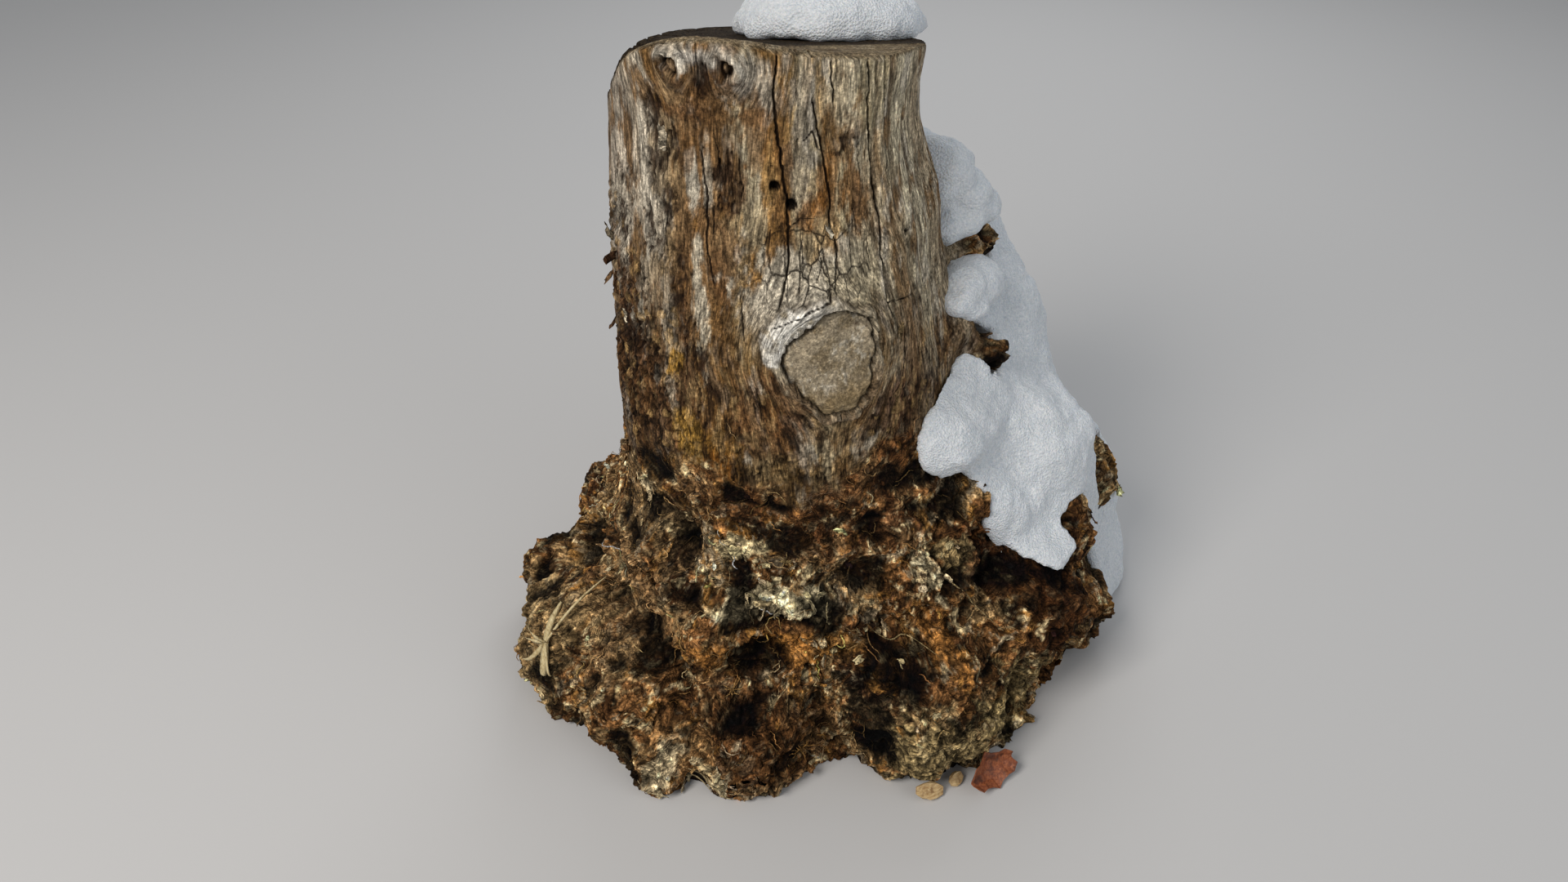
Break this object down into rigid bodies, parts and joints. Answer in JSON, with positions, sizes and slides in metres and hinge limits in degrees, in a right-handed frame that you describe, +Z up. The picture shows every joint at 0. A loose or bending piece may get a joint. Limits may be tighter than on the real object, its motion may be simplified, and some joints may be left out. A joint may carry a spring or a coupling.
{
  "type": "tree stump",
  "caption": "Weathered cut tree stump on a swollen, knobbly basal burl, with drying checks, a healed branch scar and settled snow on the cut and one flank.",
  "frame": {"origin": "on the flat underside, below the middle of the trunk", "axes": "+Z up along the trunk, -Y towards the side with the branch scar, +X towards the flank with the snow"},
  "size_m": [0.7418, 0.6514, 0.7314],
  "materials": {
    "weathered_wood": "rough, weathered, part rotten",
    "snow": "granular snow",
    "dry_straw": "dry, slightly glossy grass",
    "dead_leaf": "damp dead leaf",
    "split_wood": "bare split wood"
  },
  "bodies": {
    "root": {"stump_wood": "weathered_wood", "snow_cap": "snow", "snow_drift": "snow", "grass_tuft": "dry_straw", "dead_leaf": "dead_leaf", "wood_chip_1": "split_wood", "wood_chip_2": "split_wood"}
  },
  "joints": []
}
